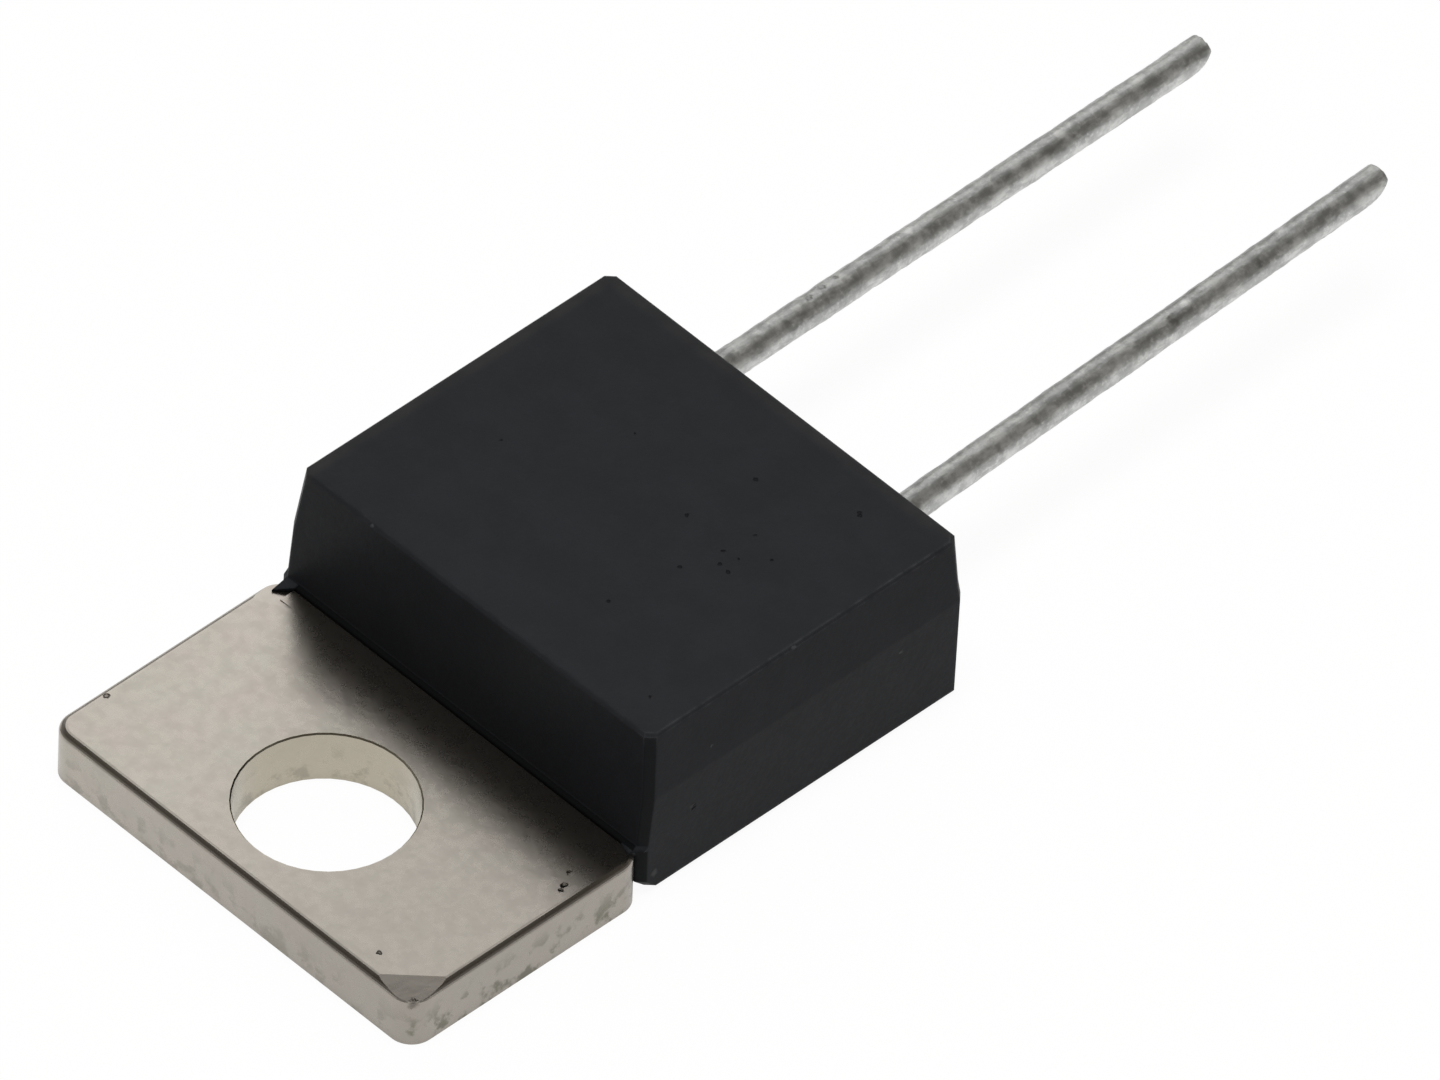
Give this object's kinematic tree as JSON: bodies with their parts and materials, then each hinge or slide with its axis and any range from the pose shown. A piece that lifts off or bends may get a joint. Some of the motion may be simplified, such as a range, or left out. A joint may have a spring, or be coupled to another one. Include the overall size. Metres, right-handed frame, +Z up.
{
  "type": "power resistor",
  "caption": "Flat moulded power resistor with a drilled heat-sink plate on its back and a pair of straight round wire leads.",
  "frame": {"origin": "axis of the bolt hole, in the plane of the heat-sink plate's mounting face", "axes": "+Z up, out of the mounting face through the plate; +Y towards the leads; +X across the plate"},
  "size_m": [0.01, 0.0276, 0.0039],
  "materials": {
    "nickel_plate": "satin nickel plating on copper, slightly mottled, with fine scratches",
    "mould_compound": "fine-grained matte charcoal moulding compound",
    "tinned_wire": "dull tinned copper wire with draw lines and small nicks",
    "solder": "frosty solder",
    "alumina": "unglazed white alumina",
    "resistor_ink": "fired thick-film resistor ink",
    "termination_ink": "fired silver conductor ink",
    "overcoat_glass": "fired opaque green glass"
  },
  "bodies": {
    "root": {"heat_sink_plate": "nickel_plate", "moulded_body": "mould_compound", "lead_left": "tinned_wire", "lead_right": "tinned_wire", "substrate_solder": "solder", "solder_joint_left": "solder", "solder_joint_right": "solder", "ceramic_substrate": "alumina", "resistor_film": "resistor_ink", "termination_left": "termination_ink", "termination_right": "termination_ink", "glass_overcoat": "overcoat_glass"}
  },
  "joints": []
}
